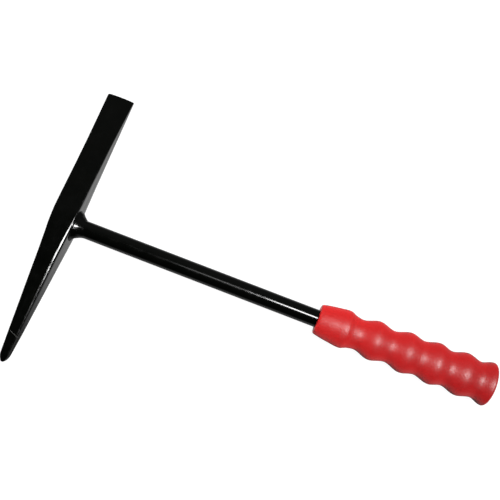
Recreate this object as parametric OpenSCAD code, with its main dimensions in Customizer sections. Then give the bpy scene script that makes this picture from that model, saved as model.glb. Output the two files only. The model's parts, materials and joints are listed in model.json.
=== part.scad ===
// Chipping hammer: a forged head with a chisel at one end and a square point at the other,
// welded across the end of a round steel tube that carries a ribbed grip.
//
// Every piece is drawn along the tool's own axes and then laid down by lay():
//   x along the handle, 0 at the middle of the head, towards the grip
//   y along the head, 0 at the handle's axis, towards the chisel
//   z square to both, 0 in the tool's middle plane
// The finished part lies on its side on z = 0 with the origin under the middle of its box.

/* [Head] */
// From the handle's axis to the chisel's cutting edge
chisel_reach = 97.3; // [90:0.1:110]
// From the handle's axis to the point's tip
point_reach = 100.8; // [95:0.1:115]
// Width and depth of the bar where it crosses the handle
bar_side = 16.5; // [15:0.5:18]
// Length of the straight stretch of bar on each side of the handle's axis
straight_half = 6.5; // [6.5:0.5:9]
// Width of the chisel's cutting edge
edge_width = 19.2; // [17:0.1:22]
// Thickness of the blunt cutting edge
edge_thickness = 1.8; // [1:0.1:3]
// Radius of the arc that the cutting edge follows
edge_arc_r = 60; // [40:1:150]
// Width of the point arm where its short tip begins
point_width = 6.15; // [5:0.05:7]
// Length of the short four-sided tip
tip_length = 5; // [3:0.5:8]
// Width of the flat left on the very tip
tip_flat = 1.4; // [0.6:0.1:2]
// Width of the broken corners along the bar, measured along each face
corner_break = 1.45; // [0.8:0.05:1.8]

/* [Handle] */
// Outer diameter of the tube
tube_d = 12; // [10:0.5:12]
// Wall thickness of the tube
tube_wall = 2; // [1:0.5:3]
// Thickness of the grip that closes the tube's rear end
rear_wall = 5.7; // [4.5:0.1:10]

/* [Weld] */
// How far the weld spreads over the head, from the handle's axis
weld_reach = 11.4; // [10.5:0.1:12]
// How far the weld climbs along the tube, from the head's face
weld_climb = 8; // [6:0.5:10]
// How far the weld bulges past a hollow quarter arc, as a share of the way to its corner
weld_fill = 0.35; // [0:0.05:0.5]

/* [Grip] */
// Where the grip's front face lies, from the middle of the head
grip_front = 184; // [180:0.5:188]
// Radius of the grip's front face
grip_front_r = 9.7; // [9:0.1:10.5]
// From the front face to the crest of the collar
collar_length = 18.8; // [16:0.1:20]
// From each crest to the next, from the collar to the rear rim
crest_steps = [21.8, 22.2, 20.2, 19.2, 18.3]; // [16:0.1:24]
// Radius of each crest, from the collar to the rear rim
crest_r = [13.1, 13.55, 14, 14.4, 14.75, 14.9]; // [13:0.05:16]
// Radius of each finger groove, from the collar to the rear rim
groove_r = [10.5, 11, 11.8, 12.05, 12.45]; // [9.5:0.05:12.5]
// From the last crest to the flat rear face
rim_length = 1.2; // [0.8:0.1:3]
// Radius of the flat rear face
rear_face_r = 13.8; // [12:0.1:14.4]

/* [Hidden] */
$fn = 96;

tube_r = tube_d / 2;
face_x = bar_side / 2; // the head's face that the handle stands on
wave_steps = 8; // straight pieces in each half wave of the grip
arc_steps = 8; // straight pieces in each short arc
cut_size = 60; // larger than any section it is cut against
over = 1; // cutters and joined pieces run this far past each other

// The head's outlines: place along y, then half the bar's width or depth there.
tip_y = tip_length - point_reach;
neck_y = -25; // on the point arm
neck_half_width = bar_side * 0.425;
neck_half_depth = bar_side * 0.455;
heel_y = 15; // on the chisel arm, where its flats start to close in
heel_half_depth = bar_side * 0.4325;
waist_y = 60; // on the chisel arm, where they close in faster towards the edge
waist_half_depth = bar_side * 0.255;
past = 0.5; // the outlines run this far past the faces that trim the two ends
edge_sag = 5; // more than the cutting edge's corners lie behind its middle
tip_slope = (point_width - tip_flat) / 2 / tip_length;
chisel_slope = (edge_width - bar_side) / 2 / (chisel_reach - straight_half);
width_line = [
    [-point_reach, tip_flat / 2],
    [tip_y, point_width / 2],
    [neck_y, neck_half_width],
    [-straight_half, bar_side / 2],
    [straight_half, bar_side / 2],
    [chisel_reach + past, edge_width / 2 + past * chisel_slope],
];
depth_line = [
    [-point_reach - past, tip_flat / 2 - past * tip_slope],
    [tip_y, point_width / 2],
    [neck_y, neck_half_depth],
    [-straight_half, bar_side / 2],
    [straight_half, bar_side / 2],
    [heel_y, heel_half_depth],
    [waist_y, waist_half_depth],
    [chisel_reach + past, edge_thickness / 2],
];

// The broken corners: place along y, then their width as a share of corner_break.
// Below 0 they lie outside the bar, so they run out along the chisel arm. Their places
// stand a little off those of the outlines above, so that no two kinks meet.
break_line = [
    [-point_reach - past, 0.1],
    [tip_y + 1, 0.9],
    [neck_y + 1.5, 1],
    [-straight_half - 1, 1],
    [straight_half + 1, 0.9],
    [heel_y + 1.5, 0.75],
    [waist_y + 2, 0.33],
    [chisel_reach + past, -0.4],
];
corner_line = [
    for (b = break_line)
        let (corner = lookup(b[0], width_line) + lookup(b[0], depth_line))
        [b[0], (corner - b[1] * corner_break) / sqrt(2)]
];

// The grip's crests and the grooves between them, as [x, radius].
function sum_to(list, n) = n == 0 ? 0 : list[n - 1] + sum_to(list, n - 1);
function crest(i) = [grip_front + collar_length + sum_to(crest_steps, i), crest_r[i]];
function groove(i) = [(crest(i)[0] + crest(i + 1)[0]) / 2, groove_r[i]];
last = len(crest_steps);
rear_x = crest(last)[0] + rim_length;
tube_end = rear_x - rear_wall;
// A half wave from a to b, without b itself.
function wave(a, b) = [
    for (k = [0 : wave_steps - 1])
        let (share = k / wave_steps, swing = (1 - cos(180 * share)) / 2)
        [a[0] + (b[0] - a[0]) * share, a[1] + (b[1] - a[1]) * swing]
];
// A quarter of a sine from the grip's front edge up to the collar.
function shoulder(a, b) = [
    for (k = [0 : wave_steps - 1])
        let (share = k / wave_steps)
        [a[0] + (b[0] - a[0]) * share, a[1] + (b[1] - a[1]) * sin(90 * share)]
];

// How the tool lies: the grip's collar and the head's outer lower edge both touch the floor.
rest_edge = face_x - corner_break;
lean = atan((crest_r[0] - face_x) / (crest(0)[0] + rest_edge));
rest_height = face_x * cos(lean) + rest_edge * sin(lean);
box_low_x = -edge_width / 2;
box_high_x = rear_x * cos(lean) + rear_face_r * sin(lean);
box_mid_y = (chisel_reach - point_reach) / 2;

module lay() {
    translate([-(box_low_x + box_high_x) / 2, -box_mid_y, rest_height])
        rotate([0, -lean, 0])
            children();
}

// A prism with one of the head's outlines on both sides, drawn along z right through the head.
module head_prism(line) {
    one_side = [for (p = line) [p[1], p[0]]];
    other_side = [for (i = [len(line) - 1 : -1 : 0]) [-line[i][1], line[i][0]]];
    linear_extrude(height = cut_size, center = true)
        polygon(concat(one_side, other_side));
}

// What lies beyond the arc of the cutting edge.
module edge_trim() {
    translate([0, chisel_reach - edge_arc_r, 0])
        difference() {
            translate([-cut_size / 2, edge_arc_r - edge_sag, -cut_size / 2])
                cube(cut_size);
            cylinder(r = edge_arc_r, h = 2 * cut_size, center = true);
        }
}

// The bar: its width, its depth and its two pairs of broken corners are four crossing prisms.
module head_shape() {
    difference() {
        intersection() {
            head_prism(width_line);
            rotate([0, 90, 0])
                head_prism(depth_line);
            rotate([0, 45, 0])
                head_prism(corner_line);
            rotate([0, -45, 0])
                head_prism(corner_line);
        }
        edge_trim();
    }
}

module head() {
    color([0.03, 0.03, 0.035])
        lay()
            head_shape();
}

module handle_tube() {
    color([0.05, 0.05, 0.055])
        lay()
            rotate([0, 90, 0])
                difference() {
                    translate([0, 0, face_x])
                        cylinder(r = tube_r, h = tube_end - face_x);
                    translate([0, 0, face_x - over])
                        cylinder(r = tube_r - tube_wall, h = tube_end - face_x + 2 * over);
                }
}

// The weld's section is a hollow curve from the head's face up to the tube.
module weld_section() {
    spread = weld_reach - tube_r;
    curve = [
        for (k = [0 : arc_steps])
            let (
                turn = 90 * k / arc_steps,
                chord = k / arc_steps,
                hollow_r = spread * (1 - sin(turn)),
                hollow_x = weld_climb * (1 - cos(turn)),
                chord_r = spread * (1 - chord),
                chord_x = weld_climb * chord
            )
            [
                tube_r + hollow_r + (chord_r - hollow_r) * weld_fill,
                face_x + hollow_x + (chord_x - hollow_x) * weld_fill,
            ]
    ];
    polygon(concat([[tube_r, face_x - over], [weld_reach, face_x - over]], curve));
}

module weld_bead() {
    color([0.04, 0.04, 0.045])
        lay()
            difference() {
                intersection() {
                    rotate([0, 90, 0])
                        rotate_extrude()
                            weld_section();
                    translate([0, -cut_size / 2, -rest_edge])
                        cube([cut_size, cut_size, 2 * rest_edge]);
                }
                head_shape();
            }
}

// The grip's outer profile, from its front face to its rear face.
function grip_profile() = concat(
    shoulder([grip_front, grip_front_r], crest(0)),
    [for (i = [0 : last - 1]) each concat(wave(crest(i), groove(i)), wave(groove(i), crest(i + 1)))],
    [crest(last), [rear_x, rear_face_r]]
);

module grip() {
    color([0.82, 0.1, 0.1])
        lay()
            rotate([0, 90, 0])
                difference() {
                    rotate_extrude()
                        polygon([
                            each [for (p = grip_profile()) [p[1], p[0]]],
                            [0, rear_x],
                            [0, grip_front],
                        ]);
                    translate([0, 0, grip_front - over])
                        cylinder(r = tube_r, h = tube_end - grip_front + over);
                }
}

head();
handle_tube();
weld_bead();
grip();
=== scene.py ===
import json
import math

import bpy
import numpy as np
from mathutils import Matrix, Vector, noise

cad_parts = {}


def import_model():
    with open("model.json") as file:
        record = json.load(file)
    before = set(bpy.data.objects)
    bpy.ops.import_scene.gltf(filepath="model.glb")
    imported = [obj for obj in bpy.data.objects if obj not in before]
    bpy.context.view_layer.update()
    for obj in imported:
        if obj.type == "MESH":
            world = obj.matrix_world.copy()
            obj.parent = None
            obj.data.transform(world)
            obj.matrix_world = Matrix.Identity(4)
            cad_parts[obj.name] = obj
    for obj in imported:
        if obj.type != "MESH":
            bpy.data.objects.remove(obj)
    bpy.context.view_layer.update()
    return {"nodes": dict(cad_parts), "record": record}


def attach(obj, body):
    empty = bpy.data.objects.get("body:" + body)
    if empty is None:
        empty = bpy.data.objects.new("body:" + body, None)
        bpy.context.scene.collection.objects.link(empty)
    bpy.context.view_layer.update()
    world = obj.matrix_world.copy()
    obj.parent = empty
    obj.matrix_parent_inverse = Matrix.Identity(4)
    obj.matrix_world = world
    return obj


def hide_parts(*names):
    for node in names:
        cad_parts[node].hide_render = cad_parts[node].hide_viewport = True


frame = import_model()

# The looks of a chipping hammer that lies on its side on a pale floor.
# Meshes are made in millimetres along the tool's own axes: x from the head along the handle,
# y from the handle's axis to the chisel, z out of the side that faces up. TOOL takes them to the row frame.

MM = 0.001


# ---------------------------------------------------------------- the tool's own axes

def tool_axes():
    """The matrix from the tool's axes to the row frame, and half the side of the head's bar, in metres."""
    mounts = {m["name"]: m for m in frame["record"]["mounts"]}
    along = Vector(mounts["handle_shaft"]["axis"]).normalized()
    inner_face = Vector(mounts["hanging_shoulders"]["pos_m"])
    under_side = Vector(mounts["head_side"]["pos_m"])
    across = Vector((0, 1, 0))
    up = along.cross(across)
    half_bar = (inner_face - under_side).length / math.sqrt(2)
    matrix = Matrix((along, across, up)).transposed().to_4x4()
    matrix.translation = inner_face - half_bar * along
    return matrix, half_bar


TOOL, HALF_BAR_M = tool_axes()
HALF_BAR = HALF_BAR_M / MM


def tool_box(node):
    """Lowest and highest corner of a CAD node along the tool's axes, in millimetres."""
    back = TOOL.inverted()
    points = np.array([back @ v.co for v in frame["nodes"][node].data.vertices]) / MM
    return points.min(0), points.max(0)


HEAD_LOW, HEAD_HIGH = tool_box("head")
TUBE_END, TUBE_R, _ = tool_box("handle_tube")[1]
WELD_LOW, WELD_HIGH = tool_box("weld_bead")
GRIP_LOW, GRIP_HIGH = tool_box("grip")


# ---------------------------------------------------------------- mesh helpers

def add_mesh(name, points, faces):
    """A smooth-shaded mesh object from points along the tool's axes in millimetres."""
    mesh = bpy.data.meshes.new(name)
    mesh.from_pydata([tuple(TOOL @ (Vector(p) * MM)) for p in points], [], faces)
    mesh.validate()
    mesh.update()
    mesh.shade_smooth()
    piece = bpy.data.objects.new(name, mesh)
    bpy.context.scene.collection.objects.link(piece)
    return piece


def band_faces(rings, size):
    """Quads between consecutive closed rings of equal size."""
    return [
        (r * size + i, r * size + (i + 1) % size, (r + 1) * size + (i + 1) % size, (r + 1) * size + i)
        for r in range(rings - 1)
        for i in range(size)
    ]


def wander(x, y, z, scale):
    """Smooth noise from -1 to 1, with features about scale millimetres wide."""
    return noise.noise(Vector((x, y, z)) / scale)


def smooth_steps(low, high, value):
    """0 below low, 1 above high, and a smooth rise between."""
    t = min(max((value - low) / (high - low), 0), 1)
    return t * t * (3 - 2 * t)


# ---------------------------------------------------------------- head

TIP, EDGE = HEAD_LOW[1], HEAD_HIGH[1]
# Along y, in millimetres: the half width towards the grip, the half width away from it,
# the half depth, and the size of the broken corners on top.
HEAD_STATIONS = [
    (TIP, 0.8, 0.6, 0.65, 0.2),
    (TIP + 1.1, 1.95, 1.4, 1.7, 0.45),
    (TIP + 2.8, 2.75, 2.1, 2.5, 0.55),
    (TIP + 5.0, 3.2, 2.6, 3.08, 0.6),
    (-75.0, 4.4, 3.75, 4.4, 0.8),
    (-55.0, 5.5, 5.05, 5.65, 1.15),
    (-25.0, 7.1, 6.72, 7.5, 1.25),
    (-11.0, 7.98, 7.75, 8.05, 1.15),
    (-5.0, HALF_BAR, HALF_BAR, HALF_BAR, 0.95),
    (0.0, HALF_BAR, HALF_BAR + 0.1, HALF_BAR, 0.55),
    (6.5, HALF_BAR, HALF_BAR + 0.3, HALF_BAR, 0.5),
    (15.0, 8.4, 8.66, 7.14, 0.45),
    (25.0, 8.52, 8.54, 6.5, 0.4),
    (40.0, 8.85, 8.4, 5.5, 0.4),
    (60.0, 9.25, 8.32, 4.2, 0.35),
    (EDGE, 10.35, 9.05, 0.9, 0.1),
]
LEAST_BREAK = 0.3
UNDER_BREAK = 0.4
SIDE_STEPS = 7
# How far the cutting edge's corners lie behind its middle, and the radii of its three kinds of corner
EDGE_SAG = 0.35
EDGE_INNER_R, EDGE_OUTER_R, EDGE_NOSE_R = 0.4, 1.3, 0.75
# The ground tip: where it begins on the middle line, how that line leans across the bar, and its extra slope
GRIND_Y, GRIND_LEAN, GRIND_SLOPE = -81.0, -0.41, 0.014


def head_section(y):
    """Half widths, half depth and broken corner at y, with the bar's kinks rounded off."""
    columns = np.array(HEAD_STATIONS).T
    spread = 0.3 if y < TIP + 7 else 1.8
    places = np.clip(y + spread * np.linspace(-1, 1, 5), TIP, EDGE)
    places = places - (places.mean() - y)
    return [float(np.interp(places, columns[0], c).mean()) for c in columns[1:]]


def cut_corners(points):
    """The same open line with every corner cut off at a quarter of both its sides."""
    line = [points[0]]
    for p, q in zip(points, points[1:]):
        line += [0.75 * p + 0.25 * q, 0.25 * p + 0.75 * q]
    return line + [points[-1]]


def corner_points(w, h, b):
    """The broken corner from the side face to the top face: a narrow round, then a flatter ground strip."""
    b = min(max(b, LEAST_BREAK), 0.55 * min(w, h))
    turns = [(0, 1.3), (0.12, 0.8), (0.5, 0.35), (1.35, 0.02), (1.65, 0)]
    return cut_corners(cut_corners([np.array((w - across * b, h - down * b)) for across, down in turns]))


def head_ring(inner, outer, h, b):
    """One closed ring (x, z) round the bar."""
    under = min(b, UNDER_BREAK)
    quarters = [
        corner_points(inner, h, b),
        [p * (-1, 1) for p in reversed(corner_points(outer, h, b))],
        [p * (-1, -1) for p in corner_points(outer, h, under)],
        [p * (1, -1) for p in reversed(corner_points(inner, h, under))],
    ]
    ring = []
    for here, after in zip(quarters, quarters[1:] + quarters[:1]):
        ring += here
        for k in range(1, SIDE_STEPS):
            ring.append(here[-1] + (after[0] - here[-1]) * k / SIDE_STEPS)
    return ring


def head_places():
    """Where the rings stand along y: close together at the two ends and 0.9 mm apart between."""
    tip = TIP + np.array([0, 0.12, 0.35, 0.8, 1.6, 2.6, 3.6, 4.3, 4.8, 5.2, 5.8, 6.6])
    edge = EDGE - np.array([3.2, 2.4, 1.8, 1.3, 0.9, 0.6, 0.35, 0.18, 0.06, 0])
    body = np.arange(tip[-1] + 0.9, edge[0] - 0.5, 0.9)
    return np.concatenate([tip, body, edge])


def round_off(y, end, radius):
    """How far a corner of this radius at the end has drawn in at y."""
    into = max(y - (end - radius), 0)
    return radius - math.sqrt(max(radius ** 2 - into ** 2, 0))


def head_piece():
    """The forged bar: rings along y, rounded at the cutting edge, ground at the tip and a little uneven."""
    points, rings = [], head_places()
    for y in rings:
        inner, outer, h, b = head_section(y)
        h = max(h - 0.8 * round_off(y, EDGE, EDGE_NOSE_R), 0.25)
        b += 0.08 * wander(0, y, 5, 5)
        in_trim, out_trim = round_off(y, EDGE, EDGE_INNER_R), round_off(y, EDGE, EDGE_OUTER_R)
        for x, z in head_ring(inner, outer, h, b):
            px = x * (1 - (in_trim / inner if x > 0 else out_trim / outer))
            sag = EDGE_SAG * (px / outer) ** 2 * smooth_steps(60, EDGE, y)
            ground = max(0, GRIND_Y + GRIND_LEAN * px - y) * GRIND_SLOPE
            pz = z - math.copysign(min(ground, 0.3 * abs(z)), z)
            swell = 0.06 * wander(px, y, pz, 17) + 0.02 * wander(px, y, pz + 40, 6)
            away = Vector((px, 0, pz)).normalized() * swell * min(1, h / 4)
            points.append((px + away.x, y - sag, pz + away.z))
    size = len(points) // len(rings)
    # The rings run the other way round than those of the weld and grip, so the quads are reversed.
    faces = [face[::-1] for face in band_faces(len(rings), size)]
    faces.append(tuple(range(size)))
    faces.append(tuple(reversed(range(len(points) - size, len(points)))))
    return add_mesh("hammer_head", points, faces)


# ---------------------------------------------------------------- weld

WELD_TURN_STEPS = 220
WELD_CLIMB_STEPS = 26
# How far the bead climbs the tube, and how much further on the point's side
WELD_CLIMB, WELD_POINT_CLIMB = 6.6, 2.0
# Heights of the ripples that the bead was laid in, of its lumps, and of the blob on the chisel's side
RIPPLES, RIPPLE_HEIGHT = 27, 0.07
LUMP_HEIGHT, BLOB_HEIGHT = 0.3, 0.5
# How deep the bead's foot goes into the head and its inner wall into the tube, and where that wall ends
WELD_ROOT, WELD_INTO_TUBE, WELD_WALL_END = 1.4, 0.4, 8.6


def weld_toe(angle):
    """How far the weld's toe lies from the handle's axis, for an angle from the chisel's side."""
    along_head = WELD_HIGH[1] if math.cos(angle) > 0 else -WELD_LOW[1]
    along_head += 0.25 * wander(3 * math.cos(angle), 3 * math.sin(angle), 0, 1.7)
    depth = HALF_BAR - 0.25
    return 1 / math.hypot(math.cos(angle) / along_head, math.sin(angle) / depth)


def weld_piece():
    """The fillet between the head's face and the tube: rings from its toe on the head up to the tube."""
    points = []
    for step in range(WELD_CLIMB_STEPS + 1):
        share = step / WELD_CLIMB_STEPS
        turn = share * math.pi / 2
        for i in range(WELD_TURN_STEPS):
            angle = 2 * math.pi * i / WELD_TURN_STEPS
            cos, sin = math.cos(angle), math.sin(angle)
            spread = weld_toe(angle) - TUBE_R
            climb = WELD_CLIMB + WELD_POINT_CLIMB * smooth_steps(-0.2, 0.7, -cos)
            climb += 0.4 * wander(cos, sin, 9, 0.9)
            fill = 0.3 + 0.7 * smooth_steps(0.3, 0.95, cos)
            r = spread * ((1 - math.sin(turn)) * (1 - fill) + (1 - share) * fill)
            x = climb * ((1 - math.cos(turn)) * (1 - fill) + share * fill)
            body = math.sin(math.pi * min(1, share * 1.02)) ** 0.7 if share < 0.98 else 0
            phase = RIPPLES * angle + 2.2 * (share - 0.45) ** 2 * 4 + 1.2 * wander(cos, sin, 2, 0.6)
            saw = (phase / (2 * math.pi)) % 1
            ripple = RIPPLE_HEIGHT * abs(cos) * (smooth_steps(0, 0.7, saw) - smooth_steps(0.7, 1, saw) - 0.5)
            lumps = (0.06 + LUMP_HEIGHT * abs(cos)) * wander(8 * cos, 8 * sin, 6 * share, 2.8)
            blob = BLOB_HEIGHT * math.exp(-((angle - 0.2) ** 2) / 0.12 - (share - 0.35) ** 2 / 0.04)
            lift = body * (ripple + lumps + blob)
            points.append((
                HALF_BAR + x + lift * 0.6 - (WELD_ROOT if step == 0 else 0),
                (TUBE_R + r + lift * 0.8) * cos,
                (TUBE_R + r + lift * 0.8 * (1 - 0.5 * abs(sin))) * sin,
            ))
    size = WELD_TURN_STEPS
    rings = WELD_CLIMB_STEPS + 1
    inner = TUBE_R - WELD_INTO_TUBE
    for x in (HALF_BAR + WELD_WALL_END, HALF_BAR - WELD_ROOT):
        for i in range(size):
            angle = 2 * math.pi * i / size
            points.append((x, inner * math.cos(angle), inner * math.sin(angle)))
    faces = band_faces(rings + 2, size)
    last = (rings + 1) * size
    faces += [(last + i, last + (i + 1) % size, (i + 1) % size, i) for i in range(size)]
    return add_mesh("weld", points, faces)


# ---------------------------------------------------------------- grip

GRIP_FRONT, GRIP_REAR = GRIP_LOW[0], GRIP_HIGH[0]
# From the front face: distance and radius of the shoulder, the collar and each groove and crest.
GRIP_LINE = [
    (0.0, 9.3), (0.18, 9.75), (0.6, 10.15), (2.6, 10.75), (14.6, 12.66), (17.6, 13.05),
    (19.2, 13.08), (20.6, 12.93), (22.6, 12.05), (24.6, 11.26), (29.2, 10.5),
]
GRIP_CRESTS = [(40.6, 13.55), (62.8, 14.0), (83.0, 14.35), (102.2, 14.75), (120.3, 14.9)]
GRIP_GROOVES = [(51.4, 10.97), (72.3, 11.82), (91.7, 12.05), (112.1, 12.45)]
BORE_GAP = 0.02


def grip_knots():
    knots = list(GRIP_LINE)
    for crest, groove in zip(GRIP_CRESTS, GRIP_GROOVES):
        knots += [crest, groove]
    knots.append(GRIP_CRESTS[-1])
    return knots


def easy_curve(knots, places):
    """A curve through the knots that never swings past them (monotone cubic)."""
    x, y = np.array(knots).T
    h, d = np.diff(x), np.diff(y) / np.diff(x)
    m = np.zeros(len(x))
    for i in range(1, len(x) - 1):
        if d[i - 1] * d[i] > 0:
            a, b = 2 * h[i] + h[i - 1], h[i] + 2 * h[i - 1]
            m[i] = (a + b) / (a / d[i - 1] + b / d[i])
    m[0], m[-1] = d[0], 0
    i = np.clip(np.searchsorted(x, places, side="right") - 1, 0, len(x) - 2)
    t = (places - x[i]) / h[i]
    return (
        (1 + 2 * t) * (1 - t) ** 2 * y[i] + t * (1 - t) ** 2 * h[i] * m[i]
        + t * t * (3 - 2 * t) * y[i + 1] + t * t * (t - 1) * h[i] * m[i + 1]
    )


def grip_profile():
    """(x, radius) in four runs: the front face, the outside, the rear face, and the bore from its end."""
    knots = grip_knots()
    end = knots[-1][0]
    places = np.concatenate([[0, 0.06, 0.18, 0.36, 0.6, 1.0, 1.6], np.arange(2.4, end, 0.75), [end]])
    outer = [(GRIP_FRONT + p, r) for p, r in zip(places, easy_curve(knots, places))]
    rim_r, rim_x = knots[-1][1], GRIP_FRONT + end
    rim = GRIP_REAR - rim_x
    arc = [
        (rim_x + rim * math.sin(a), rim_r - rim * (1 - math.cos(a)))
        for a in np.radians([18, 36, 54, 72, 90])
    ]
    bore_r = TUBE_R + BORE_GAP
    front = [(GRIP_FRONT, r) for r in (bore_r, TUBE_R + 0.4, 7.6, 8.8)]
    rear = [(GRIP_REAR, r) for r in (12.6, 10.5, 8.0, 5.5, 3.0, 1.0)]
    bore = [(TUBE_END, r) for r in (1.0, 3.0, bore_r)] + [(GRIP_FRONT + 20, bore_r)]
    return front, outer, arc + rear, bore


GRIP_TURN_STEPS = 160
SEAM, SEAM_WIDTH = 0.07, 0.45
GRIP_WAVER = 0.05
PLAIN_START = 8  # the first rings of the outside, on its rim, have no seam


def grip_piece():
    """The sleeve, turned about the handle's axis, with the mould's seam along both edges."""
    front, outer, rear, bore = grip_profile()
    profile = front + outer + rear + bore
    shaped = range(len(front) + PLAIN_START, len(front) + len(outer))
    points = []
    for k, (x, r) in enumerate(profile):
        for i in range(GRIP_TURN_STEPS):
            angle = 2 * math.pi * i / GRIP_TURN_STEPS
            cos, sin = math.cos(angle), math.sin(angle)
            seam = SEAM * math.exp(-(min(abs(sin), 1) * r / SEAM_WIDTH) ** 2) if k in shaped else 0
            waver = GRIP_WAVER * wander(x, r * cos, r * sin, 14) if k in shaped else 0
            points.append((x, (r + seam + waver) * cos, (r + seam + waver) * sin))
    size, rings = GRIP_TURN_STEPS, len(profile)
    faces = band_faces(rings, size)
    last = (rings - 1) * size
    faces += [(last + i, last + (i + 1) % size, (i + 1) % size, i) for i in range(size)]
    # The rear face and the bore's end are each closed in the middle, with the rear wall between them.
    bore_start = (rings - len(bore)) * size
    del faces[bore_start - size:bore_start]
    faces.append(tuple(range(bore_start - size, bore_start)))
    faces.append(tuple(reversed(range(bore_start, bore_start + size))))
    return add_mesh("grip_sleeve", points, faces)


# ---------------------------------------------------------------- materials

def new_material(name):
    """A material with its nodes, links and surface shader."""
    material = bpy.data.materials.new(name)
    material.use_nodes = True
    nodes = material.node_tree.nodes
    return material, nodes, material.node_tree.links, nodes["Principled BSDF"]


def add_noise(nodes, links, coordinates, per_metre, detail=2.0):
    texture = nodes.new("ShaderNodeTexNoise")
    texture.inputs["Scale"].default_value = per_metre
    texture.inputs["Detail"].default_value = detail
    links.new(coordinates, texture.inputs["Vector"])
    return texture.outputs["Fac"]


def add_range(nodes, links, value, low, high, from_low=0.3, from_high=0.7):
    spread = nodes.new("ShaderNodeMapRange")
    spread.inputs["From Min"].default_value = from_low
    spread.inputs["From Max"].default_value = from_high
    spread.inputs["To Min"].default_value = low
    spread.inputs["To Max"].default_value = high
    links.new(value, spread.inputs["Value"])
    return spread.outputs["Result"]


def add_mix(nodes, links, share, colour_a, colour_b):
    mix = nodes.new("ShaderNodeMix")
    mix.data_type = "RGBA"
    mix.inputs["A"].default_value = (*colour_a, 1)
    mix.inputs["B"].default_value = (*colour_b, 1)
    links.new(share, mix.inputs["Factor"])
    return mix.outputs["Result"]


def add_bump(nodes, links, height, distance, below=None):
    bump = nodes.new("ShaderNodeBump")
    bump.inputs["Distance"].default_value = distance
    links.new(height, bump.inputs["Height"])
    if below is not None:
        links.new(below, bump.inputs["Normal"])
    return bump.outputs["Normal"]


def add_nibs(nodes, links, coordinates, per_metre, share, radius):
    """Dust nibs under the paint: a few of a cell pattern's cells hold one small round bump."""
    cells = nodes.new("ShaderNodeTexVoronoi")
    cells.inputs["Scale"].default_value = per_metre
    links.new(coordinates, cells.inputs["Vector"])
    near = add_range(nodes, links, cells.outputs["Distance"], 1, 0, 0, radius)
    pick = nodes.new("ShaderNodeSeparateColor")
    links.new(cells.outputs["Color"], pick.inputs["Color"])
    chosen = nodes.new("ShaderNodeMath")
    chosen.operation = "LESS_THAN"
    chosen.inputs[1].default_value = share
    links.new(pick.outputs["Red"], chosen.inputs[0])
    both = nodes.new("ShaderNodeMath")
    both.operation = "MULTIPLY"
    links.new(near, both.inputs[0])
    links.new(chosen.outputs["Value"], both.inputs[1])
    return both.outputs["Value"]


# Linear colours. The vinyl's red is darkened from the grip's front to its rear as painted shade, standing in
# for the light falling off towards the rear.
ENAMEL_DARK, ENAMEL_LIGHT = (0.0006, 0.0008, 0.0006), (0.0014, 0.0015, 0.0012)
VINYL_LIT_FRONT, VINYL_SHADED_REAR = (0.52, 0.013, 0.013), (0.33, 0.006, 0.007)
# Painted highlight: a thin light grey line on the black enamel where the ground tip's kink catches the
# light.
GROUND_KINK_HIGHLIGHT = (0.16, 0.16, 0.155, 1)
GROUND_KINK_HIGHLIGHT_SHARE = 0.35
# Dust nibs: cells per metre, the share of cells that hold one, radius in cells, height in millimetres
NIBS_PER_METRE, NIB_SHARE, NIB_RADIUS, NIB_HEIGHT = 160, 0.05, 0.045, 0.09


def black_enamel(name, peel, peel_width, roughness, streaks=0.0, ground_kink_highlight=False):
    """Gloss black enamel. peel and streaks are heights, and peel_width a width, in millimetres."""
    material, nodes, links, surface = new_material(name)
    place = nodes.new("ShaderNodeTexCoord").outputs["Object"]
    cloud = add_noise(nodes, links, place, 70, 3)
    links.new(add_mix(nodes, links, cloud, ENAMEL_DARK, ENAMEL_LIGHT), surface.inputs["Base Color"])
    dullness = add_noise(nodes, links, place, 220, 4)
    links.new(add_range(nodes, links, dullness, *roughness), surface.inputs["Roughness"])
    surface.inputs["IOR"].default_value = 1.5
    normal = add_bump(nodes, links, add_noise(nodes, links, place, 1 / (peel_width * MM), 1.5), peel * MM)
    nibs = add_nibs(nodes, links, place, NIBS_PER_METRE, NIB_SHARE, NIB_RADIUS)
    normal = add_bump(nodes, links, nibs, NIB_HEIGHT * MM, normal)
    if streaks:
        stretch = nodes.new("ShaderNodeMapping")
        stretch.inputs["Scale"].default_value = (1, 0.06, 1)
        links.new(place, stretch.inputs["Vector"])
        grain = add_noise(nodes, links, stretch.outputs["Vector"], 420, 2)
        normal = add_bump(nodes, links, grain, streaks * MM, normal)
    # The head's enamel gets a painted highlight round the ground tip's kink.
    if ground_kink_highlight:
        paint_ground_kink_highlight(nodes, links, place, surface)
    links.new(normal, surface.inputs["Normal"])
    return material


def paint_ground_kink_highlight(nodes, links, place, surface):
    """A thin light line painted round the point arm where the ground tip begins: a painted highlight on the
    kink there.
    """
    lean = Vector((-GRIND_LEAN, 1, 0)).normalized()
    across = TOOL.to_3x3() @ lean
    start = TOOL @ (Vector((0, GRIND_Y, 0)) * MM)
    reach = nodes.new("ShaderNodeVectorMath")
    reach.operation = "DOT_PRODUCT"
    reach.inputs[1].default_value = across
    links.new(place, reach.inputs[0])
    away = nodes.new("ShaderNodeMath")
    away.operation = "SUBTRACT"
    away.inputs[1].default_value = across.dot(start)
    links.new(reach.outputs["Value"], away.inputs[0])
    size = nodes.new("ShaderNodeMath")
    size.operation = "ABSOLUTE"
    links.new(away.outputs["Value"], size.inputs[0])
    line = add_range(nodes, links, size.outputs["Value"], GROUND_KINK_HIGHLIGHT_SHARE, 0, 0.08 * MM, 0.24 * MM)
    mix = nodes.new("ShaderNodeMix")
    mix.data_type = "RGBA"
    links.new(line, mix.inputs["Factor"])
    links.new(surface.inputs["Base Color"].links[0].from_socket, mix.inputs["A"])
    mix.inputs["B"].default_value = GROUND_KINK_HIGHLIGHT
    links.new(mix.outputs["Result"], surface.inputs["Base Color"])


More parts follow.
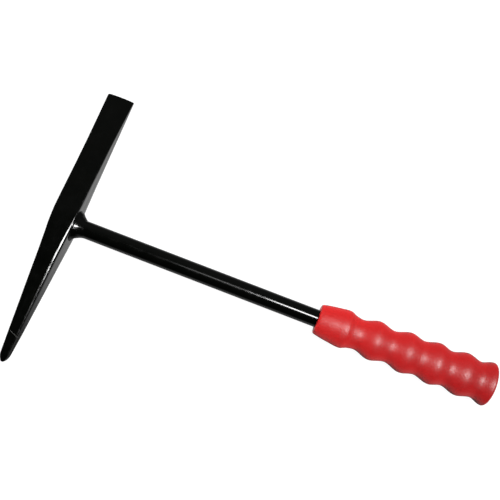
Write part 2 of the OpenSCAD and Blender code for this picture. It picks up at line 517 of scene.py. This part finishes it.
def red_vinyl():
    """Soft vinyl with a satin skin from the mould, its red darkened towards the grip's rear as painted
    shade.
    """
    material, nodes, links, surface = new_material("red_vinyl")
    place = nodes.new("ShaderNodeTexCoord").outputs["Object"]
    along = nodes.new("ShaderNodeSeparateXYZ")
    links.new(place, along.inputs["Vector"])
    front, rear = ((TOOL @ (Vector((x, 0, 0)) * MM)).x for x in (GRIP_FRONT, GRIP_REAR))
    # Painted shade: the red darkens from the grip's front to its rear where the light falls off, with a
    # random tone on top.
    rear_shade = add_range(nodes, links, along.outputs["X"], 0, 0.8, front, rear)
    depth = nodes.new("ShaderNodeMath")
    depth.operation = "MULTIPLY_ADD"
    depth.inputs[1].default_value = 0.2
    links.new(add_noise(nodes, links, place, 45, 4), depth.inputs[0])
    links.new(rear_shade, depth.inputs[2])
    red = add_mix(nodes, links, depth.outputs["Value"], VINYL_LIT_FRONT, VINYL_SHADED_REAR)
    links.new(red, surface.inputs["Base Color"])
    dullness = add_noise(nodes, links, place, 300, 4)
    links.new(add_range(nodes, links, dullness, 0.41, 0.52), surface.inputs["Roughness"])
    surface.inputs["Diffuse Roughness"].default_value = 0.9
    surface.inputs["IOR"].default_value = 1.6
    normal = add_bump(nodes, links, add_noise(nodes, links, place, 260, 3), 0.06 * MM)
    normal = add_bump(nodes, links, add_noise(nodes, links, place, 1100, 2), 0.16 * MM, normal)
    normal = add_bump(nodes, links, add_noise(nodes, links, place, 2600, 2), 0.01 * MM, normal)
    links.new(normal, surface.inputs["Normal"])
    return material


def dress(piece, material):
    piece.data.materials.clear()
    piece.data.materials.append(material)


# ---------------------------------------------------------------- floor, light and camera

def only_for_the_eye(piece):
    """The tool's paint reflects the room in world() instead of this piece."""
    piece.visible_diffuse = False
    piece.visible_glossy = False
    piece.visible_transmission = False
    piece.visible_shadow = False


def white_room(name, points, faces, paint, glow):
    """A plain white part of the studio, which is staging and not part of the object."""
    mesh = bpy.data.meshes.new(name)
    mesh.from_pydata(points, [], faces)
    piece = bpy.data.objects.new(name, mesh)
    bpy.context.scene.collection.objects.link(piece)
    material, _, _, surface = new_material(name + "_white")
    surface.inputs["Base Color"].default_value = (paint, paint, paint, 1)
    surface.inputs["Roughness"].default_value = 0.9
    surface.inputs["Specular IOR Level"].default_value = 0.0
    surface.inputs["Emission Color"].default_value = (1, 1, 1, 1)
    surface.inputs["Emission Strength"].default_value = glow
    dress(piece, material)
    only_for_the_eye(piece)


ROOM_REACH, ROOM_HEIGHT = 4.0, 4.0  # metres
FLOOR_PAINT, FLOOR_SHINE, WALL_SHINE = 0.12, 0.97, 1.1


def floor_and_walls():
    r, h = ROOM_REACH, ROOM_HEIGHT
    corners = [(-r, -r), (r, -r), (r, r), (-r, r)]
    low, high = [(x, y, 0) for x, y in corners], [(x, y, h) for x, y in corners]
    white_room("floor", low, [(0, 1, 2, 3)], FLOOR_PAINT, FLOOR_SHINE)
    sides = [(i, (i + 1) % 4, (i + 1) % 4 + 4, i + 4) for i in range(4)]
    white_room("walls", low + high, sides + [(4, 5, 6, 7)], 0.0, WALL_SHINE)


def soft_box(name, place, size, power, target):
    """A soft box at a place along the tool's axes, aimed at a target there, with its long side along x."""
    lamp = bpy.data.lights.new(name, "AREA")
    lamp.shape = "RECTANGLE"
    lamp.size, lamp.size_y = (s * MM for s in size)
    lamp.energy = power
    piece = bpy.data.objects.new(name, lamp)
    bpy.context.scene.collection.objects.link(piece)
    piece.location = TOOL @ (Vector(place) * MM)
    back = piece.location - TOOL @ (Vector(target) * MM)
    back.normalize()
    side = Vector((1, 0, 0))
    side = (side - side.dot(back) * back).normalized()
    turn = Matrix((side, back.cross(side), back)).transposed()
    piece.rotation_euler = turn.to_euler()
    piece.visible_camera = False
    return piece


# Each soft box: place, size and target in millimetres along the tool's axes, and power in watts.
KEY = {"place": (410, -8, 900), "size": (500, 200), "power": 11.5, "target": (150, 0, 0)}
KEY_FADE = {"place": (65, 30, 900), "size": (190, 170), "power": 0.22, "target": (65, 30, 0)}
FILL = {"place": (-330, 260, 260), "size": (160, 160), "power": 3.0, "target": (200, 0, 0)}
KEY_TURN = -9  # degrees about its own axis


def lights():
    """A key, a faint box where the key's reflection fades out, and a fill that the paint doesn't mirror."""
    key = soft_box("key", **KEY)
    key.rotation_euler.rotate_axis("Z", math.radians(KEY_TURN))
    soft_box("key_fade", **KEY_FADE)
    fill = soft_box("fill", **FILL)
    fill.visible_glossy = False


# How bright the room looks to the paint: the floor at a slant, the floor straight below, and the dark above.
FLOOR_GLOW, BRIGHT_FLOOR_GLOW, SKY_GLOW = 0.42, 0.85, 0.075


def world():
    """What the paint reflects: a pale floor that ends before the horizon, and a dark room above."""
    room = bpy.data.worlds.new("room")
    bpy.context.scene.world = room
    room.use_nodes = True
    nodes, links = room.node_tree.nodes, room.node_tree.links
    place = nodes.new("ShaderNodeTexCoord").outputs["Generated"]
    split = nodes.new("ShaderNodeSeparateXYZ")
    links.new(place, split.inputs["Vector"])
    steep = add_range(nodes, links, split.outputs["Y"], 0.08, BRIGHT_FLOOR_GLOW, -0.085, 0.07)
    down = add_range(nodes, links, split.outputs["Z"], 0, 1, -0.8, -0.93)
    near = nodes.new("ShaderNodeMix")
    near.inputs["A"].default_value = FLOOR_GLOW
    links.new(steep, near.inputs["B"])
    links.new(down, near.inputs["Factor"])
    fade = nodes.new("ShaderNodeMath")
    fade.operation = "MULTIPLY"
    links.new(near.outputs["Result"], fade.inputs[0])
    links.new(add_range(nodes, links, split.outputs["Z"], 0, 1, -0.1, -0.55), fade.inputs[1])
    below = fade.outputs["Value"]
    above = add_range(nodes, links, split.outputs["Y"], 0.002, SKY_GLOW, -0.05, 0.75)
    total = nodes.new("ShaderNodeMath")
    total.operation = "MAXIMUM"
    links.new(below, total.inputs[0])
    links.new(above, total.inputs[1])
    links.new(total.outputs["Value"], nodes["Background"].inputs["Color"])


CAMERA_PLACE = (142.6, -56.7, 440.7)  # millimetres
CAMERA_TURN = (10.81, 2.28, 21.31)  # degrees
LENS_MM, SENSOR_MM = 47.3, 36


def camera():
    """The camera, placed and turned along the tool's axes."""
    eye = bpy.data.cameras.new("camera")
    eye.lens = LENS_MM
    eye.sensor_width = SENSOR_MM
    eye.clip_start = 0.01
    piece = bpy.data.objects.new("camera", eye)
    bpy.context.scene.collection.objects.link(piece)
    about_x, about_y, about_z = (math.radians(a) for a in CAMERA_TURN)
    tilt = Matrix.Rotation(about_y, 4, "Y") @ Matrix.Rotation(about_x, 4, "X")
    turn = tilt @ Matrix.Rotation(about_z, 4, "Z")
    piece.matrix_world = TOOL @ Matrix.Translation(Vector(CAMERA_PLACE) * MM) @ turn
    bpy.context.scene.camera = piece


# ---------------------------------------------------------------- putting it together

def build():
    camera()
    world()
    floor_and_walls()
    lights()
    bpy.context.scene.view_settings.view_transform = "Standard"

    head = head_piece()
    dress(head, black_enamel("head_enamel", 0.02, 2.4, (0.1, 0.2), streaks=0.1, ground_kink_highlight=True))
    weld = weld_piece()
    dress(weld, black_enamel("weld_enamel", 0.012, 1.6, (0.12, 0.2)))
    grip = grip_piece()
    dress(grip, red_vinyl())
    for piece, node in ((head, "head"), (weld, "weld_bead"), (grip, "grip")):
        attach(piece, "root")
        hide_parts(node)

    tube = frame["nodes"]["handle_tube"]
    dress(tube, black_enamel("tube_enamel", 0.012, 1.6, (0.1, 0.18)))


build()
